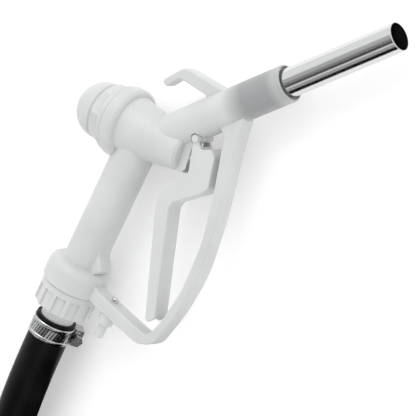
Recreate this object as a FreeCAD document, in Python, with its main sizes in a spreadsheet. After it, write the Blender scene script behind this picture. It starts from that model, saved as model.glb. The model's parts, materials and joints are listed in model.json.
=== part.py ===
"""Gravity-fed fuel nozzle with a short delivery hose, lying on its side.

Millimetres. The spout's mouth is the origin and +X points out of it. The nozzle's mid-plane is z = 0,
+Z is up, and the hanging hook is on the +Y side. The nozzle rests on the collar of its valve chamber.
"""
import FreeCAD
import Part
import Sketcher

import math
import os

from FreeCAD import Placement, Rotation, Vector

doc = FreeCAD.newDocument("fuel_nozzle")
sheet = doc.addObject("Spreadsheet::Sheet", "sizes")

SIZES = [
    ("spout_reach", 243.4, "valve centre to spout mouth"),
    ("spout_radius", 12.0, "spout tube, outside"),
    ("spout_wall", 0.8, "spout tube wall"),
    ("spout_exposed", 107.0, "spout tube outside its socket"),
    ("spout_seated", 50.0, "spout tube inside its socket"),
    ("spout_turned", 0.3, "turned off the spout's seated end, all round"),
    ("mouth_gap", 1.9, "round the spout at the socket's mouth"),
    ("neck_radius", 15.5, "neck and socket, outside"),
    ("neck_bore", 10.8, "neck's flow bore, radius"),
    ("mouth_recess", 3.0, "depth of the recess round the tube"),
    ("chamber_tilt", 41.3, "chamber axis below the spout axis, degrees"),
    ("chamber_root", 20.6, "chamber radius at the valve centre"),
    ("chamber_taper", 9.2, "half angle of the chamber, degrees"),
    ("chamber_nose", 30.2, "valve centre to the chamber's front face"),
    ("nose_boss", 38.0, "valve centre to the stem boss's face"),
    ("boss_half", 6.0, "half thickness of the stem boss"),
    ("collar_start", 31.0, "valve centre to the collar's front"),
    ("collar_face", 39.5, "valve centre to the collar's face"),
    ("collar_radius", 30.3, "collar, outside"),
    ("cavity_radius", 20.0, "chamber cavity, radius"),
    ("seat_radius", 12.0, "valve seat opening, radius"),
    ("seat_place", 2.0, "valve centre to the valve seat"),
    ("cap_ring", 28.4, "cap's round flange, radius"),
    ("cap_flange", 5.0, "cap's round flange, thickness"),
    ("cap_corner", 26.2, "cap's octagon, corner radius"),
    ("cap_octagon", 10.5, "cap's octagon, thickness"),
    ("dome_radius", 23.8, "cap's dome, radius"),
    ("dome_height", 23.0, "cap's dome, height"),
    ("poppet_radius", 15.5, "valve poppet, radius"),
    ("stem_radius", 3.5, "valve stem, radius"),
    ("stem_reach", 47.0, "valve centre to the stem's end"),
    ("grip_tilt", 40.4, "grip axis above the hose direction, degrees"),
    ("grip_offset", 15.0, "valve centre to the grip axis, along the chamber"),
    ("grip_radius", 17.2, "grip, outside"),
    ("grip_bore", 13.0, "grip's flow bore, radius"),
    ("bell_start", 124.4, "grip's top to the start of the bell"),
    ("bell_end", 147.0, "grip's top to the bell's face"),
    ("bell_radius", 26.8, "bell, outside"),
    ("spigot_radius", 20.5, "threaded spigot, outside"),
    ("spigot_length", 15.0, "threaded spigot"),
    ("nut_radius", 24.8, "union nut over its ribs"),
    ("nut_root", 22.9, "union nut between its ribs"),
    ("nut_rib", 3.6, "each of the union nut's ribs, across"),
    ("nut_length", 24.5, "union nut"),
    ("nut_ribs", 12, "ribs round the union nut"),
    ("tail_radius", 14.4, "hose tail collar, outside"),
    ("tail_bore", 10.6, "hose tail bore, radius"),
    ("tail_flange", 19.5, "hose tail flange, radius"),
    ("hose_radius", 17.3, "hose, outside"),
    ("hose_bore", 12.7, "hose, inside radius"),
    ("hose_start", 179.5, "grip's top to the hose's cut end"),
    ("barb_length", 42.0, "hose tail inside the hose"),
    ("band_width", 15.0, "clamp band"),
    ("band_gauge", 0.8, "clamp band thickness"),
    ("band_place", 10.5, "hose's cut end to the middle of the band"),
    ("guard_half", 8.0, "half width of the trigger guard"),
    ("hook_half", 6.0, "half width of the hook"),
    ("lever_half", 9.0, "half width of the lever"),
    ("lever_wall", 2.6, "lever's side wall"),
    ("pivot_radius", 2.0, "lever pin, radius"),
    ("eye_radius", 3.6, "lever's eye, radius"),
    ("nose_radius", 3.0, "lever's pusher, radius"),
    ("lock_radius", 3.0, "lock pin, radius"),
    ("lock_housing", 6.6, "lock housing, radius"),
    ("lock_button", 3.9, "lock button, radius"),
    ("running", 0.06, "running clearance on a radius"),
    ("slip", 0.3, "gap between bodies that move past each other"),
    ("edge", 1.6, "rounding on moulded edges"),
]
for row, (alias, value, note) in enumerate(SIZES, 1):
    sheet.set(f"A{row}", note)
    sheet.set(f"B{row}", str(value))
    sheet.setAlias(f"B{row}", alias)
doc.recompute()


def size(alias):
    """A driving dimension's value."""
    return float(sheet.get(alias))


def turned_by(degrees):
    """The direction in the mid-plane at an angle from +X."""
    return Vector(math.cos(math.radians(degrees)), math.sin(math.radians(degrees)), 0)


UP = Vector(0, 0, 1)
VALVE = Vector(-size("spout_reach"), 0, 0)
FRONT = turned_by(-size("chamber_tilt"))
GRIP_UP = turned_by(size("grip_tilt"))
GRIP_TOP = VALVE - FRONT * size("grip_offset")
GRIP_SIDE = UP.cross(GRIP_UP)
FLOOR = -size("collar_radius")
STEM_SIDE = UP.cross(FRONT)
# The lever's pin crosses the neck's underside, clear of the flow bore.
PIVOT = VALVE + FRONT * 40.9 + STEM_SIDE * 17.3
PUSHER = VALVE + FRONT * (size("stem_reach") + size("nose_radius") + 0.05)
nodes = {}


def along_valve(distance):
    """A point on the chamber's axis; the front is positive."""
    return VALVE + FRONT * distance


def along_grip(distance, sideways=0.0):
    """A point down the grip from its top, and sideways towards the chamber's cap."""
    return GRIP_TOP - GRIP_UP * distance + GRIP_SIDE * sideways


def towards(start, direction, roll=0.0):
    """The placement that turns +Z to a direction and moves the origin to a point."""
    return Placement(start, Rotation(UP, direction) * Rotation(UP, roll))


def keep(label, made):
    """Makes an object a sub-part of the model."""
    made.Label = label
    nodes[label] = made
    return made


def bind(made, **expressions):
    """Binds an object's sizes to the sheet."""
    for name, expression in expressions.items():
        made.setExpression(name, expression)
    return made


def rod(radius, length, placement):
    """A solid cylinder; radius and length are expressions."""
    made = doc.addObject("Part::Cylinder", "rod")
    bind(made, Radius=radius, Height=length)
    made.Placement = placement
    return made


def block(lengths, placement):
    """A solid box from its corner; the three lengths are expressions."""
    made = doc.addObject("Part::Box", "block")
    bind(made, Length=lengths[0], Width=lengths[1], Height=lengths[2])
    made.Placement = placement
    return made


def joined(*pieces):
    """One solid from several."""
    made = doc.addObject("Part::MultiFuse", "joined")
    made.Shapes = list(pieces)
    made.Refine = True
    return made


def cut(base, *tools):
    """A solid less its tools."""
    made = doc.addObject("Part::Cut", "cut")
    made.Base = base
    made.Tool = tools[0] if len(tools) == 1 else joined(*tools)
    return made


def common(first, second):
    """The solid inside both."""
    made = doc.addObject("Part::Common", "common")
    made.Base = first
    made.Tool = second
    return made


def plane_of(body, role):
    """One of a body's own origin planes."""
    return next(o for o in body.Origin.OriginFeatures if o.Role == role)


def new_sketch(body, role):
    """An empty sketch on one of a body's origin planes."""
    sketch = body.newObject("Sketcher::SketchObject", "outline")
    sketch.AttachmentSupport = [(plane_of(body, role), "")]
    sketch.MapMode = "FlatFace"
    return sketch


def turned(profile, placement):
    """A turned body: profile is a closed outline of (radius, height) expressions about +Z."""
    body = doc.addObject("PartDesign::Body", "turned")
    sketch = new_sketch(body, "XZ_Plane")
    points = [Vector(value_of(r), value_of(z), 0) for r, z in profile]
    count = len(points)
    for i in range(count):
        sketch.addGeometry(Part.LineSegment(points[i], points[(i + 1) % count]), False)
    for i in range(count):
        sketch.addConstraint(Sketcher.Constraint("Coincident", i, 2, (i + 1) % count, 1))
    for i, (radius, height) in enumerate(profile):
        for kind, expression in (("DistanceX", radius), ("DistanceY", height)):
            place = sketch.addConstraint(
                Sketcher.Constraint(kind, -1, 1, i, 1, value_of(expression)))
            sketch.setExpression(f"Constraints[{place}]", expression)
    turn = body.newObject("PartDesign::Revolution", "turn")
    turn.Profile = sketch
    turn.ReferenceAxis = (sketch, ["V_Axis"])
    turn.Angle = 360
    body.Tip = turn
    body.Placement = placement
    return body


def arc_points(radius, height, size, first, last, steps=6):
    """Outline points on an arc of a size about a (radius, height) centre, between two angles in degrees."""
    points = []
    for i in range(steps + 1):
        angle = math.radians(first + (last - first) * i / steps)
        points.append((f"{radius} + {size * math.cos(angle):.4f}", f"{height} + {size * math.sin(angle):.4f}"))
    return points


def value_of(expression):
    """What an expression of sheet sizes comes to."""
    holder = doc.getObject("values") or doc.addObject("App::FeaturePython", "values")
    if "Result" not in holder.PropertiesList:
        holder.addProperty("App::PropertyFloat", "Result")
    return float(holder.evalExpression(expression))


def rounded_edges(corners):
    """Straight edges joined by tangent arcs; corners is a closed list of (x, y, radius)."""
    count = len(corners)
    points = [Vector(x, y, 0) for x, y, _ in corners]
    starts, ends, arcs = [], [], []
    for i, (_, _, radius) in enumerate(corners):
        into = (points[i] - points[i - 1]).normalize()
        out = (points[(i + 1) % count] - points[i]).normalize()
        half = into.getAngle(out) / 2
        back = radius * math.tan(half)
        start = points[i] - into * back
        end = points[i] + out * back
        middle_way = (out - into).normalize()
        middle = points[i] + middle_way * (radius / math.cos(half) - radius)
        starts.append(start)
        ends.append(end)
        arcs.append((start, middle, end) if radius else None)
    edges = []
    for i in range(count):
        if arcs[i]:
            edges.append(Part.Arc(*arcs[i]))
        edges.append(Part.LineSegment(ends[i], starts[(i + 1) % count]))
    return edges


def plate(corners, half, rounding=None):
    """A moulded plate across the mid-plane with a rounded outline; half is an expression."""
    body = doc.addObject("PartDesign::Body", "plate")
    sketch = new_sketch(body, "XY_Plane")
    sketch.addGeometry(rounded_edges(corners), False)
    pad = body.newObject("PartDesign::Pad", "pad")
    pad.Profile = sketch
    bind(pad, Length=f"2 * {half}")
    body.Tip = pad
    if rounding:
        doc.recompute()
        names = [f"Edge{i}" for i, e in enumerate(pad.Shape.Edges, 1) if level(e)]
        soft = body.newObject("PartDesign::Fillet", "soft")
        soft.Base = (pad, names)
        bind(soft, Radius=rounding)
        body.Tip = soft
    body.Placement = Placement(Vector(0, 0, -value_of(half)), Rotation())
    return body


def level(edge):
    """Whether an edge lies in a plane of constant height."""
    return edge.BoundBox.ZLength < 1e-6


def ring(radius, wire, placement):
    """A round seal; radius and wire are expressions."""
    made = doc.addObject("Part::Torus", "ring")
    bind(made, Radius1=radius, Radius2=wire)
    made.Placement = placement
    return made


def prism(sides, corner, length, placement):
    """A regular prism; corner is the circumscribed radius."""
    flat = doc.addObject("Part::Prism", "prism")
    flat.Polygon = sides
    bind(flat, Circumradius=corner, Height=length)
    flat.Placement = placement
    return flat


def coil_spring(radius, wire, turns, length, placement):
    """A round-wire compression spring along +Z."""
    helix = Part.makeHelix(length / turns, length, radius)
    section = Part.Wire(Part.makeCircle(wire, Vector(radius, 0, 0), Vector(0, 1, 0)))
    made = doc.addObject("Part::Feature", "spring")
    made.Shape = Part.Wire(helix.Edges).makePipeShell([section], True, True)
    made.Placement = placement
    return made


# The moulded body: neck, chamber, grip and bell in one piece.

CONE = "tan(sizes.chamber_taper * 1deg)"
BACK = towards(VALVE, FRONT * -1)
AHEAD = towards(VALVE, FRONT)
DOWN_GRIP = towards(GRIP_TOP, GRIP_UP * -1)


def chamber():
    """The tapered valve chamber and its collar, about the chamber's axis."""
    root = "sizes.chamber_root"
    shape = turned([
        ("0", "-sizes.chamber_nose"),
        (f"{root} - sizes.chamber_nose * {CONE} - 2", "-sizes.chamber_nose"),
        (f"{root} - (sizes.chamber_nose - 2) * {CONE}", "-sizes.chamber_nose + 2"),
        (f"{root} + (sizes.collar_start - 5) * {CONE}", "sizes.collar_start - 5"),
        *arc_points("sizes.collar_radius - 5", "sizes.collar_start + 0.5", 5, -90, 0),
        ("sizes.collar_radius", "sizes.collar_face - 2"),
        ("sizes.collar_radius - 1.4", "sizes.collar_face"),
        ("0", "sizes.collar_face"),
    ], BACK)
    return shape


def stem_boss():
    """The boss round the stem's gland, as wide as the chamber but thin enough for the lever's fork."""
    root = "sizes.chamber_root"
    full = turned([
        ("0", "-sizes.nose_boss"),
        (f"{root} - sizes.nose_boss * {CONE} - 2.5", "-sizes.nose_boss"),
        (f"{root} - (sizes.nose_boss - 2) * {CONE}", "-sizes.nose_boss + 2"),
        (f"{root} - 20 * {CONE}", "-20"),
        ("0", "-20"),
    ], BACK)
    reach = 2 * size("chamber_root")
    slab = block(("60", "60", "2 * sizes.boss_half"),
                 Placement(along_valve(50) - Vector(30, 30, size("boss_half")), Rotation()))
    slab.Placement = Placement(along_valve(reach) - Vector(30, 30, size("boss_half")), Rotation())
    return common(full, slab)


def grip():
    """The round grip, the bell at its foot and the spigot that the union nut screws on."""
    return turned([
        ("0", "0"),
        ("sizes.grip_radius", "0"),
        ("sizes.grip_radius", "sizes.bell_start"),
        *arc_points("sizes.bell_radius - 8.8", "sizes.bell_start + 9.2", 8.8, -90, 0, 8),
        ("sizes.bell_radius", "sizes.bell_end - 1"),
        ("sizes.bell_radius - 1", "sizes.bell_end"),
        ("sizes.spigot_radius", "sizes.bell_end"),
        ("sizes.spigot_radius", "sizes.bell_end + sizes.spigot_length"),
        ("0", "sizes.bell_end + sizes.spigot_length"),
    ], DOWN_GRIP)


def neck():
    """The level neck and the spout's socket, with a rounded mouth."""
    return turned([
        ("0", "0"),
        ("sizes.neck_radius", "0"),
        *arc_points("sizes.neck_radius - 1.5", "sizes.spout_reach - sizes.spout_exposed - 1.5", 1.5, 0, 90, 4),
        ("0", "sizes.spout_reach - sizes.spout_exposed"),
    ], towards(VALVE, Vector(1, 0, 0)))


def flow_ways():
    """The bores of the neck, the chamber, the stem's gland and the grip."""
    mouth = "sizes.spout_reach - sizes.spout_exposed"
    seat = f"{mouth} - sizes.spout_seated"
    neck_way = turned([
        ("0", "-2"),
        ("sizes.neck_bore", "-2"),
        ("sizes.neck_bore", seat),
        ("sizes.spout_radius - sizes.spout_turned + sizes.running", seat),
        ("sizes.spout_radius - sizes.spout_turned + sizes.running", f"{mouth} - sizes.mouth_recess"),
        ("sizes.spout_radius + sizes.mouth_gap", f"{mouth} - sizes.mouth_recess"),
        ("sizes.spout_radius + sizes.mouth_gap", f"{mouth} + 1"),
        ("0", f"{mouth} + 1"),
    ], towards(VALVE, Vector(1, 0, 0)))
    chamber_way = turned([
        ("0", "-sizes.nose_boss - 1"),
        ("5", "-sizes.nose_boss - 1"),
        ("5", "-27"),
        ("sizes.stem_radius + sizes.running", "-27"),
        ("sizes.stem_radius + sizes.running", "-20"),
        ("sizes.seat_radius", "-12"),
        ("sizes.seat_radius", "sizes.seat_place"),
        ("sizes.cavity_radius", "sizes.seat_place"),
        ("sizes.cavity_radius", "sizes.collar_face + 1"),
        ("0", "sizes.collar_face + 1"),
    ], BACK)
    grip_way = rod("sizes.grip_bore", "sizes.bell_end + sizes.spigot_length + 1", DOWN_GRIP)
    return [neck_way, chamber_way, grip_way]


def pivot_reliefs():
    """Two pockets under the neck where the lever's fork turns, each open below and a little above."""
    reach = size("eye_radius") + 0.5
    inner = size("boss_half") + 0.1
    below = 12
    above = 1.2
    pockets = []
    for side in (-1, 1):
        low = PIVOT + Vector(0, 0, inner if side > 0 else -13)
        pocket = rod("sizes.eye_radius + 0.5", f"13 - {inner}", Placement(low, Rotation()))
        opening = block((f"{2 * reach + 1.6}", f"{below + above}", f"13 - {inner}"),
                        Placement(low - Vector(reach + 1.6, below, 0), Rotation()))
        pockets += [pocket, opening]
    return pockets


LUG = [
    (-346, -86.2, 0), (-334, -55, 0), (-321.5, -65.5, 3), (-327.0, -74, 8), (-329.0, -86.2, 2),
]


def nozzle_body():
    """The moulding that carries every other piece; its lug stops the guard's foot."""
    stop = plate(LUG, "sizes.guard_half", "sizes.edge")
    lug = rod("sizes.eye_radius + 0.4", "2 * sizes.boss_half",
              Placement(PIVOT - Vector(0, 0, size("boss_half")), Rotation()))
    solid = joined(neck(), chamber(), stem_boss(), grip(), lug, stop)
    pin_hole = rod("sizes.pivot_radius", "40", Placement(PIVOT - Vector(0, 0, 20), Rotation()))
    return cut(solid, *flow_ways(), *pivot_reliefs(), pin_hole)


# The strap-shaped pieces: trigger guard, hook and lever.

GUARD_OUTSIDE = [
    (-150, -10, 0), (-172, -38, 60), (-204, -82.8, 200), (-236, -119.6, 120),
    (-268, -142, 120), (-299, -157.8, 16), (-314, -152, 16), (-328.8, -132.4, 60),
    (-345.5, -110.5, 0),
]
GUARD_FOOT = [(-352, -96, 0), (-344, -88.6, 0), (-336, -88.6, 2), (-339.2, -98.6, 5)]
GUARD_INSIDE = [
    (-333.6, -106.8, 14), (-310.5, -138, 8), (-302, -149.2, 7), (-286, -143.2, 40),
    (-256.8, -125.2, 90), (-224.8, -94.8, 120), (-200.8, -61.2, 120), (-176, -21, 4),
    (-178, -8, 0),
]


def trigger_guard(body):
    """The strap from the socket round the lever to the foot of the grip, with the hold-open notch."""
    corners = GUARD_OUTSIDE + GUARD_FOOT + GUARD_INSIDE
    strap = plate(corners, "sizes.guard_half", "sizes.edge")
    way = rod("sizes.lock_radius + sizes.running", "40", lock_axis(LOCK_WELL - 20))
    well = rod("sizes.lock_button + sizes.running", "20", lock_axis(LOCK_WELL))
    seat = rod("sizes.lock_housing + 0.4", "10", lock_axis(LOCK_FACE))
    return cut(strap, body, way, well, seat, *solid_cores())


def solid_cores():
    """The outlines of the neck, the grip and the bell, filled, so that nothing stands in their bores."""
    neck_core = rod("sizes.neck_radius", "sizes.spout_reach - sizes.spout_exposed",
                    towards(VALVE, Vector(1, 0, 0)))
    grip_core = rod("sizes.grip_radius", "sizes.bell_end + sizes.spigot_length", DOWN_GRIP)
    nut_room = rod("sizes.nut_radius + 0.5", "40", towards(along_grip(size("bell_end")), GRIP_UP * -1))
    return [neck_core, grip_core, nut_room]


def hook(body):
    """The hook that hangs the nozzle on a drum or a bracket."""
    corners = [
        (-163, 12, 0), (-195.5, 44.6, 12), (-221, 42.2, 2.6), (-218.6, 35.6, 2.6),
        (-203.5, 37.6, 8), (-182, 15, 3), (-190, 10, 0),
    ]
    return cut(plate(corners, "sizes.hook_half", "sizes.edge"), solid_cores()[0])


LEVER_OUTLINE = [
    (-203.6, -12.6, 0), (-217.7, -36.6, 3), (-226.0, -39.9, 5), (-240.1, -39.2, 10),
    (-254.0, -46.5, 12), (-261.0, -58.5, 14), (-299.5, -139.0, 3), (-288.5, -138.5, 4),
    (-246.0, -58.5, 6), (-240.7, -55.2, 4), (-212.7, -57.8, 6), (-203.5, -55.5, 6),
    (-189.5, -34.0, 6), (-190.5, -26.8, 2), (-200.7, -24.0, 4), (-200.0, -15.0, 0),
]
LEVER_CHANNEL = [
    (-222, -30, 0), (-222, -52, 3), (-242.5, -52, 4), (-249.5, -57.5, 6),
    (-293, -145, 0), (-310, -145, 0), (-275, -55, 0), (-262, -30, 0),
]
FORK_GAP = [
    (-193, -8, 0), (-195.5, -19.5, 1), (-202.5, -22.5, 1), (-209.4, -40.5, 2), (-214, -44.5, 2),
    (-232, -44.5, 0), (-232, -8, 0),
]


def lever():
    """The channel-shaped lever, forked round the stem boss, with the pusher that works the stem."""
    arm = plate(LEVER_OUTLINE, "sizes.lever_half", "sizes.edge - 0.4")
    eye = rod("sizes.eye_radius", "2 * sizes.lever_half",
              Placement(PIVOT - Vector(0, 0, size("lever_half")), Rotation()))
    channel = plate(LEVER_CHANNEL, "(sizes.lever_half - sizes.lever_wall)")
    gap = plate(FORK_GAP, "(sizes.boss_half + sizes.slip + 0.1)")
    pin_hole = rod("sizes.pivot_radius + sizes.running", "40",
                   Placement(PIVOT - Vector(0, 0, 20), Rotation()))
    pusher = rod("sizes.nose_radius", "2 * (sizes.boss_half + sizes.slip + 0.1)",
                 Placement(PUSHER - Vector(0, 0, size("boss_half") + 0.4), Rotation()))
    return joined(cut(joined(arm, eye), channel, gap, pin_hole), pusher)


# Valve pieces on the chamber's axis.


def valve_cap():
    """The cap: threaded plug, round flange, octagon, groove and dome."""
    plug = turned([
        ("13", "sizes.collar_face - 9"),
        ("sizes.cavity_radius - sizes.running", "sizes.collar_face - 9"),
        ("sizes.cavity_radius - sizes.running", "sizes.collar_face - 7"),
        ("sizes.cavity_radius - 2", "sizes.collar_face - 7"),
        ("sizes.cavity_radius - 2", "sizes.collar_face - 4.4"),
        ("sizes.cavity_radius - sizes.running", "sizes.collar_face - 4.4"),
        ("sizes.cavity_radius - sizes.running", "sizes.collar_face"),
        ("sizes.cap_ring - 0.8", "sizes.collar_face"),
        ("sizes.cap_ring", "sizes.collar_face + 0.8"),
        ("sizes.cap_ring", "sizes.collar_face + sizes.cap_flange - 0.8"),
        ("sizes.cap_ring - 0.8", "sizes.collar_face + sizes.cap_flange"),
        ("22.5", "sizes.collar_face + sizes.cap_flange"),
        ("22.5", "sizes.collar_face + sizes.cap_flange + sizes.cap_octagon + 2"),
        ("13", "sizes.collar_face + sizes.cap_flange + sizes.cap_octagon + 2"),
    ], BACK)
    octagon_start = size("collar_face") + size("cap_flange")
    octagon = prism(8, "sizes.cap_corner", "sizes.cap_octagon",
                    towards(along_valve(-octagon_start), FRONT * -1, 8))
    bevel = turned([
        ("0", "sizes.collar_face"),
        ("sizes.cap_corner", "sizes.collar_face"),
        ("sizes.cap_corner", "sizes.collar_face + sizes.cap_flange + sizes.cap_octagon - 2"),
        ("sizes.cap_corner - 2.2", "sizes.collar_face + sizes.cap_flange + sizes.cap_octagon"),
        ("0", "sizes.collar_face + sizes.cap_flange + sizes.cap_octagon"),
    ], BACK)
    hollow = rod("13", "60", BACK)
    body = cut(joined(plug, common(octagon, bevel)), hollow)
    return joined(body, dome())


def dome():
    """The cap's hollow dome, a half ellipsoid on a short skirt."""
    start = size("collar_face") + size("cap_flange") + size("cap_octagon") + 1.5
    outside = doc.addObject("Part::Ellipsoid", "outside")
    bind(outside, Radius1="sizes.dome_height", Radius2="sizes.dome_radius", Radius3="sizes.dome_radius")
    outside.Angle1 = 0
    outside.Placement = towards(along_valve(-start - 2.5), FRONT * -1)
    skirt = turned([
        ("0", "0"),
        ("sizes.dome_radius - 1.3", "0"),
        ("sizes.dome_radius", "1.4"),
        ("sizes.dome_radius", "2.5"),
        ("0", "2.5"),
    ], towards(along_valve(-start), FRONT * -1))
    well = rod("13", "12", towards(along_valve(-start + 1), FRONT * -1))
    return cut(joined(outside, skirt), well)


def valve_stem():
    """The steel stem from its end in front of the boss to the poppet."""
    reach = size("stem_reach")
    return rod("sizes.stem_radius", "sizes.stem_reach + 10", towards(along_valve(reach), FRONT * -1))


def poppet():
    """The disc that closes the seat, with a spring guide behind it."""
    return turned([
        ("sizes.stem_radius", "sizes.seat_place + 2.5"),
        ("sizes.poppet_radius", "sizes.seat_place + 2.5"),
        ("sizes.poppet_radius", "sizes.seat_place + 5"),
        ("8", "sizes.seat_place + 5"),
        ("7", "sizes.seat_place + 9"),
        ("sizes.stem_radius", "sizes.seat_place + 9"),
    ], BACK)


def poppet_seal():
    """The flat rubber seal that meets the seat."""
    return turned([
        ("sizes.stem_radius", "sizes.seat_place + 0.02"),
        ("sizes.poppet_radius - 0.7", "sizes.seat_place + 0.02"),
        ("sizes.poppet_radius - 0.7", "sizes.seat_place + 2.5"),
        ("sizes.stem_radius", "sizes.seat_place + 2.5"),
    ], BACK)


def gland_nut():
    """The gland nut in the boss, which holds the stem's seal in."""
    boss = "sizes.nose_boss"
    sleeve = turned([
        ("sizes.stem_radius + sizes.running", f"{boss} - 7"),
        ("5", f"{boss} - 7"),
        ("5", boss),
        ("sizes.stem_radius + sizes.running", boss),
    ], AHEAD)
    head = prism(6, "5.6", "1.9", towards(along_valve(size("nose_boss")), FRONT, 30))
    way = rod("sizes.stem_radius + sizes.running", "70", AHEAD)
    return joined(sleeve, cut(head, way))


def valve_spring():
    """The spring between the poppet and the cap."""
    wire = 0.9
    start = size("seat_place") + 5 + wire
    end = size("collar_face") + size("cap_flange") + size("cap_octagon") + 12.5 - wire
    return coil_spring(10.0, wire, 9, end - start, towards(along_valve(-start), FRONT * -1))


# The spout.


def spout_tube():
    """The steel spout tube, turned down a little where it is pressed into its socket."""
    return turned([
        ("sizes.spout_radius - sizes.spout_wall", "0"),
        ("sizes.spout_radius - sizes.spout_turned", "0"),
        ("sizes.spout_radius - sizes.spout_turned", "sizes.spout_seated + 1"),
        ("sizes.spout_radius", "sizes.spout_seated + 1"),
        ("sizes.spout_radius", "sizes.spout_exposed + sizes.spout_seated - 0.4"),
        ("sizes.spout_radius - 0.4", "sizes.spout_exposed + sizes.spout_seated"),
        ("sizes.spout_radius - sizes.spout_wall", "sizes.spout_exposed + sizes.spout_seated"),
    ], towards(Vector(-size("spout_exposed") - size("spout_seated"), 0, 0), Vector(1, 0, 0)))


# The lever's pin and the lock.


def lever_pin():
    """The headed pin that the lever turns on."""
    reach = size("lever_half") + size("slip")
    shank = rod("sizes.pivot_radius - sizes.running / 2", "2 * (sizes.lever_half + sizes.slip) + 1",
                Placement(PIVOT - Vector(0, 0, reach + 1), Rotation()))
    head = rod("sizes.pivot_radius + 1.1", "1.4", Placement(PIVOT + Vector(0, 0, reach), Rotation()))
    return joined(shank, head)


def lever_clip():
    """The push-on clip on the pin's plain end."""
    reach = size("lever_half") + size("slip")
    disc = rod("sizes.pivot_radius + 1.3", "0.9",
               Placement(PIVOT - Vector(0, 0, reach + 0.9), Rotation()))
    hole = rod("sizes.pivot_radius - sizes.running / 2", "0.9",
               Placement(PIVOT - Vector(0, 0, reach + 0.9), Rotation()))
    return cut(disc, hole)


LOCK_SIDE = -44.5
LOCK_TIP = 132.5
LOCK_WELL = 140.0
LOCK_FACE = 147.4
LOCK_SHOULDER = 156.2


def lock_point(distance):
    """A point on the lock pin's axis, at a distance down the grip."""
    return along_grip(distance, LOCK_SIDE)


def lock_axis(distance):
    """A placement on the lock pin's axis, pointing down the grip."""
    return towards(lock_point(distance), GRIP_UP * -1)


def lock_pin():
    """The steel hold-open pin."""
    return turned([
        ("0", "0"),
        ("sizes.lock_radius - 0.7", "0"),
        ("sizes.lock_radius", "0.7"),
        ("sizes.lock_radius", f"{LOCK_SHOULDER - LOCK_TIP}"),
        ("0", f"{LOCK_SHOULDER - LOCK_TIP}"),
    ], lock_axis(LOCK_TIP))


def lock_housing():
    """The bush on the guard's bar that guides the button."""
    return turned([
        ("sizes.lock_button + sizes.running", "0"),
        ("sizes.lock_housing", "0"),
        ("sizes.lock_housing", "9"),
        ("sizes.lock_housing - 1", "10"),
        ("sizes.lock_button + sizes.running", "10"),
    ], lock_axis(LOCK_FACE))


def lock_button():
    """The button on the pin's outer end, which slides in the bush."""
    return turned([
        ("0", "0"),
        ("sizes.lock_button", "0"),
        ("sizes.lock_button", "12.9"),
        ("sizes.lock_button - 0.9", "13.8"),
        ("0", "13.8"),
    ], lock_axis(LOCK_SHOULDER))


# The hose end, made at the nozzle and again at the hose's far end.


def union_nut(place):
    """The ribbed union nut about +Z from its open end."""
    end = "sizes.nut_length"
    shell = turned([
        ("sizes.spigot_radius + sizes.running", "0"),
        ("sizes.nut_radius - 1.2", "0"),
        ("sizes.nut_radius", "1.2"),
        ("sizes.nut_radius", "6.5"),
        ("sizes.nut_root", "7.3"),
        ("sizes.nut_root", f"{end} - 2"),
        ("sizes.nut_root - 3", end),
        ("sizes.tail_radius + 0.3", end),
        ("sizes.tail_radius + 0.3", f"{end} - 4"),
        ("sizes.tail_flange + 0.1", f"{end} - 4"),
        ("sizes.tail_flange + 0.1", "sizes.spigot_length"),
        ("sizes.spigot_radius + sizes.running", "sizes.spigot_length"),
    ], place)
    ribs = []
    count = int(size("nut_ribs"))
    for i in range(count):
        rib = block(("sizes.nut_radius - sizes.nut_root + 1.2", "sizes.nut_rib", f"{end} - 6.5"),
                    place * Placement(Vector(), Rotation(UP, i * 360 / count))
                    * Placement(Vector(size("nut_root") - 1.2, -size("nut_rib") / 2, 5), Rotation()))
        ribs.append(rib)
    envelope = turned([
        ("0", "0"),
        ("sizes.nut_radius", "0"),
        ("sizes.nut_radius", f"{end} - 3.2"),
        ("sizes.nut_root - 1.2", end),
        ("0", end),
    ], place)
    return common(joined(shell, *ribs), envelope)


def hose_tail(place):
    """The hose tail about +Z from its sealing face: flange, collar and barbs."""
    stop = size("hose_start") - size("bell_end") - size("spigot_length") - 2.0
    barbs = []
    start = stop
    pitch = size("barb_length") / 3
    for _ in range(3):
        barbs += [("sizes.hose_bore", f"{start}"), ("sizes.hose_bore - 1.1", f"{start + pitch}")]
        start += pitch
    return turned([
        ("sizes.tail_bore", "0"),
        ("sizes.tail_flange", "0"),
        ("sizes.tail_flange", "sizes.nut_length - sizes.spigot_length - 6.05"),
        ("sizes.tail_radius", "sizes.nut_length - sizes.spigot_length - 6.05"),
        ("sizes.tail_radius", f"{stop}"),
        *barbs,
        ("sizes.tail_bore", f"{stop + size('barb_length')}"),
    ], place)


def tail_gasket(place):
    """The flat gasket between the spigot and the tail."""
    return turned([
        ("sizes.grip_bore", "0"),
        ("sizes.tail_flange", "0"),
        ("sizes.tail_flange", "2"),
        ("sizes.grip_bore", "2"),
    ], place)


def clamp_band(place):
    """The clamp's steel band about +Z."""
    return turned([
        ("sizes.hose_radius + 0.05", "-sizes.band_width / 2"),
        ("sizes.hose_radius + 0.05 + sizes.band_gauge", "-sizes.band_width / 2"),
        ("sizes.hose_radius + 0.05 + sizes.band_gauge", "sizes.band_width / 2"),
        ("sizes.hose_radius + 0.05", "sizes.band_width / 2"),
    ], place)


HOUSING_WIDE = 12.0
HOUSING_TALL = 7.6
SCREW_RADIUS = 3.3


def on_band(place, roll):
    """The frame at the screw's axis: x out of the band, y round it, z along the hose."""
    out = size("hose_radius") + size("band_gauge") + 0.1 + HOUSING_TALL / 2
    turn = Placement(Vector(), Rotation(UP, roll))
    return place * turn * Placement(Vector(out, 0, 0), Rotation())


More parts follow.
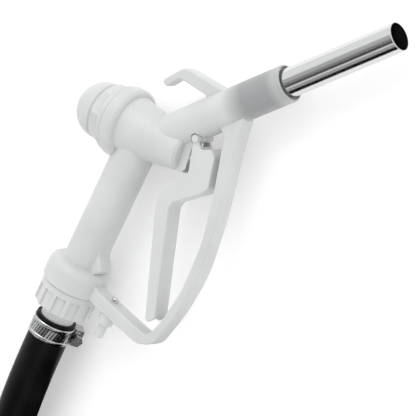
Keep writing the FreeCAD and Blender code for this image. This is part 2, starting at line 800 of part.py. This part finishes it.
def clamp_housing(place, roll):
    """The clamp's screw housing, a bent saddle round the screw."""
    frame = on_band(place, roll)
    half = size("band_width") / 2
    shell = block((f"{HOUSING_TALL}", f"{HOUSING_WIDE}", "sizes.band_width"),
                  frame * Placement(Vector(-HOUSING_TALL / 2, -HOUSING_WIDE / 2, -half), Rotation()))
    way = rod(f"{SCREW_RADIUS + 0.06}", f"{HOUSING_WIDE + 2}",
              frame * Placement(Vector(0, -HOUSING_WIDE / 2 - 1, 0), Rotation(Vector(1, 0, 0), -90)))
    band = rod("sizes.hose_radius + sizes.band_gauge + 0.05", "40", place * Placement(Vector(0, 0, -20), Rotation()))
    return cut(shell, way, band)


def clamp_screw(place, roll):
    """The worm screw with its slotted hexagon head."""
    frame = on_band(place, roll)
    across = Rotation(Vector(1, 0, 0), -90)
    worm = rod(f"{SCREW_RADIUS}", f"{HOUSING_WIDE - 0.6}",
               frame * Placement(Vector(0, -HOUSING_WIDE / 2 + 0.6, 0), across))
    shank = rod("2.2", "2.5", frame * Placement(Vector(0, HOUSING_WIDE / 2 - 0.5, 0), across))
    head = prism(6, "4.2", "4.6", frame * Placement(Vector(0, HOUSING_WIDE / 2 + 1.2, 0), across))
    slot = block(("1.1", "1.8", "10"),
                 frame * Placement(Vector(-0.55, HOUSING_WIDE / 2 + 4.2, -5), Rotation()))
    return cut(joined(worm, shank, head), slot)


# The hose's route, from its cut end at the nozzle to its cut end at the far fitting.

FAR_HEIGHT = FLOOR + size("nut_radius") + 0.4
LOW = FLOOR + size("hose_radius") + 0.2
HOSE_START = along_grip(size("hose_start"))
ROUTE = [
    (HOSE_START.x, HOSE_START.y, 0.0),
    (-461, -166, 0),
    (-550, -212, -6),
    (-652, -220, LOW),
    (-745, -181, LOW),
    (-809, -103, LOW),
    (-830, -5, LOW),
    (-803, 91, LOW),
    (-735, 165, LOW),
    (-641, 205, LOW),
    (-548, 210, FAR_HEIGHT),
    (-462, 190, FAR_HEIGHT),
]
# Which way round the hose each clamp's screw housing stands.
NEAR_ROLL = 170
FAR_ROLL = -35


def route_wire():
    """The hose's centreline: straight runs joined by tangent arcs as large as the runs allow."""
    points = [Vector(*p) for p in ROUTE]
    edges = []
    last = points[0]
    for i in range(1, len(points) - 1):
        into = points[i] - points[i - 1]
        out = points[i + 1] - points[i]
        half = into.getAngle(out) / 2
        back = 0.45 * min(into.Length, out.Length)
        radius = back / math.tan(half)
        print(f"hose radius {radius:.0f}")
        start = points[i] - Vector(into).normalize() * back
        end = points[i] + Vector(out).normalize() * back
        inwards = (Vector(out).normalize() - Vector(into).normalize()).normalize()
        middle = points[i] + inwards * (radius / math.cos(half) - radius)
        edges.append(Part.LineSegment(last, start).toShape())
        edges.append(Part.Arc(start, middle, end).toShape())
        last = end
    edges.append(Part.LineSegment(last, points[-1]).toShape())
    return Part.Wire(edges)


def tube_along(wire, radius):
    """A round solid swept along a wire."""
    start = wire.Edges[0]
    centre = start.valueAt(start.FirstParameter)
    way = start.tangentAt(start.FirstParameter)
    section = Part.Wire(Part.makeCircle(radius, centre, way))
    return wire.makePipeShell([section], True, True)


def hose():
    """The hose, with its bore."""
    wire = route_wire()
    made = doc.addObject("Part::Feature", "hose")
    outside = tube_along(wire, size("hose_radius"))
    inside = tube_along(wire, size("hose_bore"))
    made.Shape = outside.cut(inside)
    area = math.pi * (size("hose_radius") ** 2 - size("hose_bore") ** 2)
    print(f"hose length {wire.Length:.1f}, volume share {made.Shape.Volume / (area * wire.Length):.4f}")
    return made


def fittings(suffix, face, clamp_roll):
    """The gasket, tail, nut and clamp of one hose end; face is the sealing face, +Z into the hose."""
    nut_back = Placement(Vector(0, 0, -size("spigot_length")), Rotation())
    gasket_depth = Placement(Vector(0, 0, 2), Rotation())
    cut_end = size("hose_start") - size("bell_end") - size("spigot_length")
    band = Placement(Vector(0, 0, cut_end + size("band_place")), Rotation())
    keep("tail_gasket" + suffix, tail_gasket(face))
    keep("hose_tail" + suffix, hose_tail(face * gasket_depth))
    keep("union_nut" + suffix, union_nut(face * nut_back))
    keep("clamp_band" + suffix, clamp_band(face * band))
    keep("clamp_housing" + suffix, clamp_housing(face * band, clamp_roll))
    keep("clamp_screw" + suffix, clamp_screw(face * band, clamp_roll))


def far_face():
    """The sealing face of the far fitting, pointing back into the hose."""
    end = Vector(*ROUTE[-1])
    back = (Vector(*ROUTE[-2]) - end).normalize()
    depth = size("hose_start") - size("bell_end") - size("spigot_length")
    return towards(end - back * depth, back)


body = keep("nozzle_body", nozzle_body())
keep("trigger_guard", trigger_guard(body))
keep("hanging_hook", hook(body))
keep("valve_cap", valve_cap())
keep("cap_seal", ring("sizes.cavity_radius - 1.3", "1.22",
                      towards(along_valve(-size("collar_face") + 5.7), FRONT * -1)))
keep("valve_stem", valve_stem())
keep("valve_poppet", poppet())
keep("poppet_seal", poppet_seal())
keep("valve_spring", valve_spring())
keep("gland_nut", gland_nut())
keep("stem_seal", ring("sizes.stem_radius + 0.75", "0.72", towards(along_valve(29), FRONT)))
keep("lever", lever())
keep("lever_pin", lever_pin())
keep("lever_clip", lever_clip())
keep("lock_pin", lock_pin())
keep("lock_housing", lock_housing())
keep("lock_button", lock_button())
keep("spout_tube", spout_tube())
fittings("", towards(along_grip(size("bell_end") + size("spigot_length")), GRIP_UP * -1, 90), NEAR_ROLL)
fittings("_far", far_face(), FAR_ROLL)
keep("hose", hose())

doc.recompute()
faults = [o.Label for o in doc.Objects if "Invalid" in o.State or "Error" in o.State]
for label, made in nodes.items():
    shape = made.Shape
    if shape.isNull() or not shape.isValid():
        faults.append(label)
        continue
    print(f"{label:18} {len(shape.Solids)} solid {shape.Volume:10.1f} mm3")
if faults:
    raise SystemExit(f"failed: {faults}")
os.makedirs("parts", exist_ok=True)
for label, made in nodes.items():
    made.Shape.exportStep(f"parts/{label}.step")
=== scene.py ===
"""A white plastic fuel nozzle on its side, with a steel spout and a short black hose.

Metres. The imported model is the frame: the spout's mouth is the origin and +X points out of it.
"""

import json
import math

import bmesh
import bpy
from mathutils import Matrix, Vector


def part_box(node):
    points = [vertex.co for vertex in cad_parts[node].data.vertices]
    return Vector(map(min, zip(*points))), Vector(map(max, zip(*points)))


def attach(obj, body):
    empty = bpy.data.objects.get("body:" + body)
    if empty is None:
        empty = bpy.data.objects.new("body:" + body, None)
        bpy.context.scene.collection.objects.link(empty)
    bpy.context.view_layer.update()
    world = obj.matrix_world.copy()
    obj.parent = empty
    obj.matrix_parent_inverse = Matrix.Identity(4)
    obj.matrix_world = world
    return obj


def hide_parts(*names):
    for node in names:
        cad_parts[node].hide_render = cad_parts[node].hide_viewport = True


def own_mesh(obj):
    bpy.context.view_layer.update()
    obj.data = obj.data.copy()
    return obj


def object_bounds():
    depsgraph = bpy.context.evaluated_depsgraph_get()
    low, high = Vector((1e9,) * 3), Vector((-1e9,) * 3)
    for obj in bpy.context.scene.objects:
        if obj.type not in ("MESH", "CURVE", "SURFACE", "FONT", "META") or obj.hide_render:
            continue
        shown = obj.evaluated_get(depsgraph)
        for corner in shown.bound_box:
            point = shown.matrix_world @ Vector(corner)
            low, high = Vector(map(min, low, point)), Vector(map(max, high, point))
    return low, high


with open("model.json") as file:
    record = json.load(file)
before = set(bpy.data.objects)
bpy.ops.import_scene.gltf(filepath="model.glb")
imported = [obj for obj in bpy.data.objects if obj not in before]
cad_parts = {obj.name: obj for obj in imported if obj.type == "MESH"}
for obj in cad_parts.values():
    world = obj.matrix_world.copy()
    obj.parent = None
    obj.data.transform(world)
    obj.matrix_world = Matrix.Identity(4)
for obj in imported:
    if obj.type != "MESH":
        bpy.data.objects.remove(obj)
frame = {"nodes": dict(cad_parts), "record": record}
cad_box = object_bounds()
nodes = frame["nodes"]
scene = bpy.context.scene

MM = 0.001
FLOOR = cad_box[0][2]
HOSE_DIAMETER = 34.6 * MM
HOSE_BORE_RADIUS = 12.7 * MM
HOSE_EDGE_BREAK = 0.6 * MM
HOSE_SIDES = 48

# The camera and the hose come first.

TARGET = Vector((-0.2144, -0.0684, 0.0))
CAMERA_RIGHT = Vector((0.76575, -0.26400, -0.58646))
CAMERA_UP = Vector((0.30725, 0.95125, -0.02702))
CAMERA_BACK = Vector((0.565, -0.15949, 0.80953))
CAMERA_DISTANCE = 2.4
CAMERA_LENS = 259.6
CAMERA_SENSOR = 36


def camera():
    """A long lens above and in front of the spout's mouth."""
    data = bpy.data.cameras.new("camera")
    data.lens = CAMERA_LENS
    data.sensor_width = CAMERA_SENSOR
    seen = bpy.data.objects.new("camera", data)
    turn = Matrix((CAMERA_RIGHT, CAMERA_UP, CAMERA_BACK)).transposed().to_4x4()
    seen.matrix_world = Matrix.Translation(TARGET + CAMERA_BACK * CAMERA_DISTANCE) @ turn
    scene.collection.objects.link(seen)
    scene.camera = seen


camera()

HOSE_ROUTE = [
    (-391.3, -106.3, 0), (-434, -142.6, 0), (-482, -192, -2), (-556, -216, -7), (-652, -216, -12.8),
    (-745, -181, -12.8), (-809, -103, -12.8), (-830, -5, -12.8), (-803, 91, -12.8),
    (-735, 165, -12.8), (-641, 205, -12.8), (-548, 210, -5.1), (-462, 190, -5.1),
]


def route_curve(name):
    """The hose's route as a smooth spline."""
    data = bpy.data.curves.new(name, "CURVE")
    data.dimensions = "3D"
    spline = data.splines.new("NURBS")
    spline.points.add(len(HOSE_ROUTE) - 1)
    for point, place in zip(spline.points, HOSE_ROUTE):
        point.co = (*(Vector(place) * MM), 1)
    spline.order_u = 3
    spline.use_endpoint_u = True
    spline.resolution_u = 24
    made = bpy.data.objects.new(name, data)
    scene.collection.objects.link(made)
    return made


def linear(hex_value):
    """A linear colour from an sRGB hex value."""
    channels = [(hex_value >> shift & 255) / 255 for shift in (16, 8, 0)]
    return [c / 12.92 if c <= 0.04045 else ((c + 0.055) / 1.055) ** 2.4 for c in channels] + [1]


def add(tree, kind, inputs=None, **settings):
    """A node with its settings, values and links."""
    node = tree.nodes.new(kind)
    for name, value in settings.items():
        setattr(node, name, value)
    for socket, value in (inputs or {}).items():
        if isinstance(value, bpy.types.NodeSocket):
            tree.links.new(value, node.inputs[socket])
        else:
            node.inputs[socket].default_value = value
    return node


def new_material(name, **values):
    """A material with its shader's own values set; returns (material, tree, shader, coordinates)."""
    material = bpy.data.materials.new(name)
    material.use_nodes = True
    tree = material.node_tree
    shader = tree.nodes["Principled BSDF"]
    for socket, value in values.items():
        shader.inputs[socket.replace("_", " ")].default_value = value
    place = add(tree, "ShaderNodeTexCoord").outputs["Object"]
    return material, tree, shader, place


# Materials.

# The size of each pattern's features. The finest are drawn coarser than they are, so that they show.
PELLET_CLOUD = 45 * MM
MOULD_GRAIN = 1.2 * MM
ACETAL_CLOUD = 30 * MM
ACETAL_GRAIN = 0.9 * MM
POLISH_LINE = 1.1 * MM
STRIP_SCUFF = 1.6 * MM
WIRE_STAIN = 2 * MM
RUBBER_BLOOM = 3 * MM
RUBBER_DUST = 30 * MM
RUBBER_GRAIN = 1.6 * MM
PAPER_FIBRE = 300 * MM
MOULD_LINE_HALF = 0.5 * MM
# Along the spout: where the steel begins to show through its socket, and where that fades at the mouth.
STEEL_SHOWS = (-166 * MM, -146 * MM)
STEEL_FADES = (-120 * MM, -113 * MM)


def moulded_polypropylene(name, over_steel):
    """Natural polypropylene, injection moulded: waxy, milky, faintly cloudy where the walls are thick."""
    material, tree, shader, place = new_material(
        name, Roughness=0.42, IOR=1.49, Subsurface_Weight=0.15,
        Subsurface_Radius=(0.004, 0.004, 0.004), Subsurface_Scale=1.0)
    cloud = add(tree, "ShaderNodeTexNoise", {"Vector": place, "Scale": 1 / PELLET_CLOUD, "Detail": 3})
    cloudy = add(tree, "ShaderNodeMapRange",
                 {"Value": cloud.outputs["Fac"], "From Min": 0.35, "From Max": 0.65})
    pale = add(tree, "ShaderNodeMix",
               {"Factor": cloudy.outputs["Result"], 6: linear(0xCCCDCD), 7: linear(0xD4D5D5)},
               data_type="RGBA").outputs[2]
    across = add(tree, "ShaderNodeSeparateXYZ", {"Vector": place}).outputs
    # The socket's wall is thin over the steel tube, which shows through as a grey band.
    if over_steel:
        begins = add(tree, "ShaderNodeMapRange",
                     {"Value": across["X"], "From Min": STEEL_SHOWS[0],
                      "From Max": STEEL_SHOWS[1]})
        fades = add(tree, "ShaderNodeMapRange",
                    {"Value": across["X"], "From Min": STEEL_FADES[0], "From Max": STEEL_FADES[1],
                     "To Min": 1.0, "To Max": 0.62})
        over_tube = add(tree, "ShaderNodeMath", {0: begins.outputs["Result"], 1: fades.outputs["Result"]},
                        operation="MULTIPLY")
        pale = add(tree, "ShaderNodeMix", {"Factor": over_tube.outputs[0], 6: pale, 7: linear(0x9D9E9F)},
                   data_type="RGBA").outputs[2]
    tree.links.new(pale, shader.inputs["Base Color"])
    # The mould's two halves meet at the mid-plane in a fine raised line.
    off_line = add(tree, "ShaderNodeMath", {0: across["Z"]}, operation="ABSOLUTE")
    line = add(tree, "ShaderNodeMapRange", {"Value": off_line.outputs[0], "From Max": MOULD_LINE_HALF,
                                            "To Min": 1.0, "To Max": 0.0})
    grain = add(tree, "ShaderNodeTexNoise", {"Vector": place, "Scale": 1 / MOULD_GRAIN, "Detail": 3})
    relief = add(tree, "ShaderNodeMath",
                 {0: grain.outputs["Fac"], 1: 0.12, 2: line.outputs["Result"]}, operation="MULTIPLY_ADD")
    raised = add(tree, "ShaderNodeBump", {"Height": relief.outputs[0], "Distance": 0.15 * MM})
    tree.links.new(raised.outputs["Normal"], shader.inputs["Normal"])
    return material


def moulded_acetal():
    """Acetal, injection moulded: whiter, harder and a little glossier than the body."""
    material, tree, shader, place = new_material(
        "white acetal, moulded", Roughness=0.36, IOR=1.48, Subsurface_Weight=0.1,
        Subsurface_Radius=(0.003, 0.003, 0.003), Subsurface_Scale=1.0)
    cloud = add(tree, "ShaderNodeTexNoise", {"Vector": place, "Scale": 1 / ACETAL_CLOUD})
    pale = add(tree, "ShaderNodeMix",
               {"Factor": cloud.outputs["Fac"], 6: linear(0xCFD0D0), 7: linear(0xD7D8D8)},
               data_type="RGBA")
    tree.links.new(pale.outputs[2], shader.inputs["Base Color"])
    grain = add(tree, "ShaderNodeTexNoise", {"Vector": place, "Scale": 1 / ACETAL_GRAIN, "Detail": 3})
    raised = add(tree, "ShaderNodeBump", {"Height": grain.outputs["Fac"], "Distance": 0.02 * MM})
    tree.links.new(raised.outputs["Normal"], shader.inputs["Normal"])
    return material


def drawn_steel():
    """Stainless steel tube, drawn and polished: bright, with fine lengthwise lines."""
    material, tree, shader, place = new_material(
        "stainless steel, drawn and polished", Metallic=1.0, Roughness=0.16)
    drawn = add(tree, "ShaderNodeMapping", {"Vector": place, "Scale": (0.02, 1, 1)})
    streaks = add(tree, "ShaderNodeTexNoise",
                  {"Vector": drawn.outputs["Vector"], "Scale": 1 / POLISH_LINE, "Detail": 3}).outputs["Fac"]
    bright = add(tree, "ShaderNodeMix", {"Factor": streaks, 6: linear(0xD0D1D2), 7: linear(0xE2E2E2)},
                 data_type="RGBA")
    tree.links.new(bright.outputs[2], shader.inputs["Base Color"])
    polish = add(tree, "ShaderNodeMapRange", {"Value": streaks, "From Min": 0.3, "From Max": 0.7,
                                              "To Min": 0.12, "To Max": 0.2})
    tree.links.new(polish.outputs["Result"], shader.inputs["Roughness"])
    raised = add(tree, "ShaderNodeBump", {"Height": streaks, "Distance": 0.01 * MM})
    tree.links.new(raised.outputs["Normal"], shader.inputs["Normal"])
    return material


def rolled_strip():
    """Stainless strip, rolled and pressed: satin, with faint scuffs."""
    material, tree, shader, place = new_material(
        "stainless strip, rolled", Metallic=1.0, Roughness=0.25)
    scuffs = add(tree, "ShaderNodeTexNoise",
                 {"Vector": place, "Scale": 1 / STRIP_SCUFF, "Detail": 4}).outputs["Fac"]
    grey = add(tree, "ShaderNodeMix", {"Factor": scuffs, 6: linear(0xB9BABC), 7: linear(0xDADBDC)},
               data_type="RGBA")
    tree.links.new(grey.outputs[2], shader.inputs["Base Color"])
    satin = add(tree, "ShaderNodeMapRange", {"Value": scuffs, "From Min": 0.3, "From Max": 0.7,
                                             "To Min": 0.18, "To Max": 0.34})
    tree.links.new(satin.outputs["Result"], shader.inputs["Roughness"])
    raised = add(tree, "ShaderNodeBump", {"Height": scuffs, "Distance": 0.02 * MM})
    tree.links.new(raised.outputs["Normal"], shader.inputs["Normal"])
    return material


def spring_wire():
    """Spring wire, drawn and oiled: dark grey, unevenly stained."""
    material, tree, shader, place = new_material("spring wire, drawn", Metallic=1.0, Roughness=0.3)
    stain = add(tree, "ShaderNodeTexNoise", {"Vector": place, "Scale": 1 / WIRE_STAIN})
    grey = add(tree, "ShaderNodeMix",
               {"Factor": stain.outputs["Fac"], 6: linear(0x7C7E82), 7: linear(0x9B9DA0)},
               data_type="RGBA")
    tree.links.new(grey.outputs[2], shader.inputs["Base Color"])
    return material


def seal_rubber():
    """Nitrile rubber, moulded: matt black with a grey bloom."""
    material, tree, shader, place = new_material("nitrile rubber, moulded", Roughness=0.75)
    bloom = add(tree, "ShaderNodeTexNoise", {"Vector": place, "Scale": 1 / RUBBER_BLOOM})
    black = add(tree, "ShaderNodeMix",
                {"Factor": bloom.outputs["Fac"], 6: linear(0x1D1D1E), 7: linear(0x2B2B2B)},
                data_type="RGBA")
    tree.links.new(black.outputs[2], shader.inputs["Base Color"])
    return material


def hose_rubber():
    """Nitrile and PVC hose, extruded: satin black with a fine grain and a little dust."""
    material, tree, shader, place = new_material(
        "black hose rubber, extruded", Roughness=0.3, Specular_IOR_Level=0.12)
    specks = add(tree, "ShaderNodeTexNoise", {"Vector": place, "Scale": 1 / RUBBER_DUST, "Detail": 4})
    dust = add(tree, "ShaderNodeMapRange",
               {"Value": specks.outputs["Fac"], "From Min": 0.45, "From Max": 0.75})
    black = add(tree, "ShaderNodeMix",
                {"Factor": dust.outputs["Result"], 6: linear(0x0A0A0B), 7: linear(0x141415)},
                data_type="RGBA")
    tree.links.new(black.outputs[2], shader.inputs["Base Color"])
    grain = add(tree, "ShaderNodeTexNoise",
                {"Vector": place, "Scale": 1 / RUBBER_GRAIN, "Detail": 3}).outputs["Fac"]
    sheen = add(tree, "ShaderNodeMapRange", {"Value": grain, "From Min": 0.3, "From Max": 0.7,
                                             "To Min": 0.28, "To Max": 0.42})
    tree.links.new(sheen.outputs["Result"], shader.inputs["Roughness"])
    raised = add(tree, "ShaderNodeBump", {"Height": grain, "Distance": 0.06 * MM})
    tree.links.new(raised.outputs["Normal"], shader.inputs["Normal"])
    return material


def studio_paper():
    """The pale paper that the nozzle lies on. It glows faintly, a painted light that lifts the shadows on
    it and lights the nozzle's undersides from below.
    """
    material, tree, shader, place = new_material(
        "studio paper", Roughness=0.9, Emission_Color=linear(0xFFFFFF), Emission_Strength=0.14)
    fibre = add(tree, "ShaderNodeTexNoise", {"Vector": place, "Scale": 1 / PAPER_FIBRE})
    pale = add(tree, "ShaderNodeMix",
               {"Factor": fibre.outputs["Fac"], 6: linear(0xFAFAFA), 7: linear(0xFCFCFC)},
               data_type="RGBA")
    tree.links.new(pale.outputs[2], shader.inputs["Base Color"])
    return material


FINISHES = {
    "white_polypropylene": moulded_polypropylene("natural polypropylene, moulded", False),
    "white_acetal": moulded_acetal(),
    "stainless_steel": drawn_steel(),
    "zinc_plated_steel": rolled_strip(),
    "spring_steel": spring_wire(),
    "nitrile_rubber": seal_rubber(),
    "black_rubber": hose_rubber(),
}
SOCKET_FINISH = moulded_polypropylene("natural polypropylene, thin over steel", True)
slot_of = {s["node"]: s["material_slot"] for s in frame["record"]["subparts"]}
for name, node in nodes.items():
    node.data.materials.clear()
    node.data.materials.append(SOCKET_FINISH if name == "nozzle_body" else FINISHES[slot_of[name]])


def hose_path():
    """Points along the hose's smooth centreline."""
    centre = route_curve("hose_line")
    depsgraph = bpy.context.evaluated_depsgraph_get()
    line = bpy.data.meshes.new_from_object(centre.evaluated_get(depsgraph))
    bpy.data.objects.remove(centre)
    return [v.co.copy() for v in line.vertices]


def hose_mesh(path):
    """A tube with a bore along a path, its outer edge broken at both ends."""
    mesh = bmesh.new()
    outer = HOSE_DIAMETER / 2
    stations = []
    for i, point in enumerate(path):
        ahead = path[min(i + 1, len(path) - 1)]
        behind = path[max(i - 1, 0)]
        way = (ahead - behind).normalized()
        side = way.cross(Vector((0, 0, 1))).normalized()
        stations.append((point, side, side.cross(way)))

    def ring(station, radius):
        point, side, top = station
        angles = (2 * math.pi * k / HOSE_SIDES for k in range(HOSE_SIDES))
        return [mesh.verts.new(point + (side * math.cos(a) + top * math.sin(a)) * radius)
                for a in angles]

    loops = [ring(stations[0], HOSE_BORE_RADIUS), ring(stations[0], outer - HOSE_EDGE_BREAK)]
    loops += [ring(station, outer) for station in stations]
    loops += [ring(stations[-1], outer - HOSE_EDGE_BREAK), ring(stations[-1], HOSE_BORE_RADIUS)]
    loops += [ring(station, HOSE_BORE_RADIUS) for station in reversed(stations[1:-1])]
    for i, loop in enumerate(loops):
        following = loops[(i + 1) % len(loops)]
        for k in range(HOSE_SIDES):
            after = (k + 1) % HOSE_SIDES
            mesh.faces.new((loop[k], loop[after], following[after], following[k]))
    bmesh.ops.recalc_face_normals(mesh, faces=mesh.faces)
    data = bpy.data.meshes.new("hose_tube")
    mesh.to_mesh(data)
    mesh.free()
    data.shade_smooth()
    return data


def hose():
    """The hose: one smooth tube along its route."""
    path = hose_path()
    data = hose_mesh(path)
    made = bpy.data.objects.new("hose_tube", data)
    scene.collection.objects.link(made)
    data.materials.append(FINISHES["black_rubber"])
    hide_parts("hose")
    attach(made, "nozzle")


# The clamps' bands: two rails joined by slanted bars, with the worm's slots between them.

BAND_SIZES = {
    "Radius": HOSE_DIAMETER / 2 + 0.45 * MM,
    "Gauge": 0.8 * MM,
    "Rail Width": 3.4 * MM,
    "Rail Place": 5.8 * MM,
    "Bar Width": 1.8 * MM,
    "Bar Length": 9.4 * MM,
    "Bar Slant": math.radians(14),
    "Bars": 42,
}
BAND_FACETS = 96
BAR_THINNING = 0.7


def band_tree():
    """The tree that makes a slotted band about +Z from its sizes."""
    tree = bpy.data.node_groups.new("slotted band", "GeometryNodeTree")
    for name, value in BAND_SIZES.items():
        kind = "NodeSocketInt" if isinstance(value, int) else "NodeSocketFloat"
        tree.interface.new_socket(name, in_out="INPUT", socket_type=kind)
    tree.interface.new_socket("Geometry", in_out="OUTPUT", socket_type="NodeSocketGeometry")
    size = add(tree, "NodeGroupInput").outputs
    circle = add(tree, "GeometryNodeCurvePrimitiveCircle",
                 {"Resolution": BAND_FACETS, "Radius": size["Radius"]})
    section = add(tree, "GeometryNodeCurvePrimitiveQuadrilateral",
                  {"Width": size["Gauge"], "Height": size["Rail Width"]})
    rail = add(tree, "GeometryNodeCurveToMesh", {"Curve": circle.outputs["Curve"],
                                                 "Profile Curve": section.outputs["Curve"]})
    rails = add(tree, "GeometryNodeJoinGeometry")
    for way in (-1, 1):
        height = add(tree, "ShaderNodeMath", {0: size["Rail Place"], 1: way}, operation="MULTIPLY")
        place = add(tree, "ShaderNodeCombineXYZ", {"Z": height.outputs[0]})
        moved = add(tree, "GeometryNodeTransform", {"Geometry": rail.outputs["Mesh"],
                                                    "Translation": place.outputs["Vector"]})
        tree.links.new(moved.outputs["Geometry"], rails.inputs["Geometry"])
    shape = add(tree, "ShaderNodeCombineXYZ", {"X": size["Bar Width"], "Y": size["Gauge"],
                                               "Z": size["Bar Length"]})
    bar = add(tree, "GeometryNodeMeshCube", {"Size": shape.outputs["Vector"]})
    slant = add(tree, "ShaderNodeCombineXYZ", {"Y": size["Bar Slant"]})
    slanted = add(tree, "GeometryNodeTransform", {"Geometry": bar.outputs["Mesh"],
                                                  "Rotation": slant.outputs["Vector"],
                                                  "Scale": (1, BAR_THINNING, 1)})
    places = add(tree, "GeometryNodeCurveToPoints", {"Curve": circle.outputs["Curve"],
                                                     "Count": size["Bars"]})
    along = add(tree, "FunctionNodeAlignRotationToVector", {"Vector": places.outputs["Tangent"]},
                axis="X", pivot_axis="Z")
    bars = add(tree, "GeometryNodeInstanceOnPoints", {"Points": places.outputs["Points"],
                                                      "Instance": slanted.outputs["Geometry"],
                                                      "Rotation": along.outputs["Rotation"]})
    tree.links.new(bars.outputs["Instances"], rails.inputs["Geometry"])
    solid = add(tree, "GeometryNodeRealizeInstances", {"Geometry": rails.outputs["Geometry"]})
    finished = add(tree, "GeometryNodeSetMaterial", {"Geometry": solid.outputs["Geometry"],
                                                     "Material": FINISHES["zinc_plated_steel"]})
    add(tree, "NodeGroupOutput", {"Geometry": finished.outputs["Geometry"]})
    return tree


def clamp_band(name, way, tree):
    """One clamp's slotted band, round the hose where the plain band lies."""
    made = bpy.data.objects.new(name + "_slotted", bpy.data.meshes.new(name + "_slotted"))
    scene.collection.objects.link(made)
    modifier = made.modifiers.new("band", "NODES")
    modifier.node_group = tree
    for item in tree.interface.items_tree:
        if item.in_out == "INPUT":
            modifier[item.identifier] = BAND_SIZES[item.name]
    depsgraph = bpy.context.evaluated_depsgraph_get()
    mesh = bpy.data.meshes.new_from_object(made.evaluated_get(depsgraph))
    made.modifiers.clear()
    lowest, highest = (Vector(corner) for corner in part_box(name))
    turn = way.to_track_quat("Z", "Y").to_matrix().to_4x4()
    mesh.transform(Matrix.Translation((lowest + highest) / 2) @ turn)
    made.data = mesh
    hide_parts(name)
    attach(made, "nozzle")


def direction(first, second):
    """The way from one route point to another."""
    return (Vector(HOSE_ROUTE[second]) - Vector(HOSE_ROUTE[first])).normalized()


MERGE_DISTANCE = 0.001 * MM


def valve_spring():
    """The valve spring, as one smooth coil at its modelled length; the poppet shortens it against the cap
    as the valve opens.
    """
    coil = nodes["valve_spring"].data.copy()
    merged = bmesh.new()
    merged.from_mesh(coil)
    bmesh.ops.remove_doubles(merged, verts=merged.verts, dist=MERGE_DISTANCE)
    merged.to_mesh(coil)
    merged.free()
    coil.shade_smooth()
    made = bpy.data.objects.new("valve_spring_coil", coil)
    scene.collection.objects.link(made)
    slide = next(j for j in frame["record"]["behaviour"]["joints"] if j["name"] == "valve_slide")
    way = Vector(slide["axis"]).normalized()
    seat = max((v.co for v in coil.vertices), key=way.dot).copy()
    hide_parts("valve_spring")
    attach(made, "nozzle")
    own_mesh(made)


valve_spring()
slotted = band_tree()
clamp_band("clamp_band", direction(0, 1), slotted)
clamp_band("clamp_band_far", direction(-1, -2), slotted)
hose()


# The studio.

def floor():
    """A large sheet of pale paper."""
    mesh = bmesh.new()
    bmesh.ops.create_grid(mesh, x_segments=1, y_segments=1, size=FLOOR_REACH)
    bmesh.ops.translate(mesh, verts=mesh.verts, vec=(0, 0, FLOOR))
    data = bpy.data.meshes.new("floor")
    mesh.to_mesh(data)
    data.materials.append(studio_paper())
    made = bpy.data.objects.new("floor", data)
    scene.collection.objects.link(made)


def lamp(name, place, aim, size, power):
    """A square soft light aimed at a point."""
    data = bpy.data.lights.new(name, "AREA")
    data.size = size
    data.energy = power
    made = bpy.data.objects.new(name, data)
    made.location = place
    made.rotation_euler = (Vector(aim) - Vector(place)).to_track_quat("-Z", "Y").to_euler()
    scene.collection.objects.link(made)


def card(name, corners, shade):
    """A card that shows only as a stripe in bright metal."""
    mesh = bpy.data.meshes.new(name)
    mesh.from_pydata(corners, [], [(0, 1, 2, 3)])
    paint, _, shader, _ = new_material(name + " card", Roughness=1.0, Specular_IOR_Level=0.0)
    shader.inputs["Base Color"].default_value = linear(shade)
    mesh.materials.append(paint)
    made = bpy.data.objects.new(name, mesh)
    made.visible_camera = False
    made.visible_diffuse = False
    made.visible_shadow = False
    scene.collection.objects.link(made)


FLOOR_REACH = 6
LAMP_PLACE = (0.5, 1.7, 1.6)
LAMP_SIZE = 1.6
LAMP_POWER = 14
DAYLIGHT = 0.98
CARD_BACK = -2.2
CARD_FRONT = 0.6
# Each card's name and shade, and the Y and Z of its near edge and of its far edge.
CARDS = [
    ("floor_card", 0x080808, (-0.16, FLOOR + 0.001), (-0.8, FLOOR + 0.001)),
    ("low_card", 0x101010, (-0.8, FLOOR), (-0.8, 0.26)),
    ("middle_card", 0xA2A2A2, (-0.8, 0.26), (-0.8, 0.74)),
    ("high_card", 0x4A4A4A, (-0.70, 0.88), (-0.34, 1.02)),
    ("near_card", 0x858585, (-0.34, 1.04), (-0.02, 1.18)),
    ("top_card", 0xB0B0B0, (-0.02, 1.2), (0.62, 1.2)),
]


def studio():
    """Soft light from all round, a little stronger from above the hook's side."""
    floor()
    lamp("overhead", LAMP_PLACE, TARGET, LAMP_SIZE, LAMP_POWER)
    # Cards along the spout, from the floor at its far side up and over it: each is one stripe in the tube.
    for name, shade, (near_y, near_z), (far_y, far_z) in CARDS:
        card(name, [(CARD_BACK, near_y, near_z), (CARD_FRONT, near_y, near_z),
                    (CARD_FRONT, far_y, far_z), (CARD_BACK, far_y, far_z)], shade)
    world = bpy.data.worlds.new("studio")
    scene.world = world
    world.use_nodes = True
    world.node_tree.nodes["Background"].inputs["Color"].default_value = linear(0xFFFFFF)
    world.node_tree.nodes["Background"].inputs["Strength"].default_value = DAYLIGHT
    scene.view_settings.view_transform = "Standard"


studio()
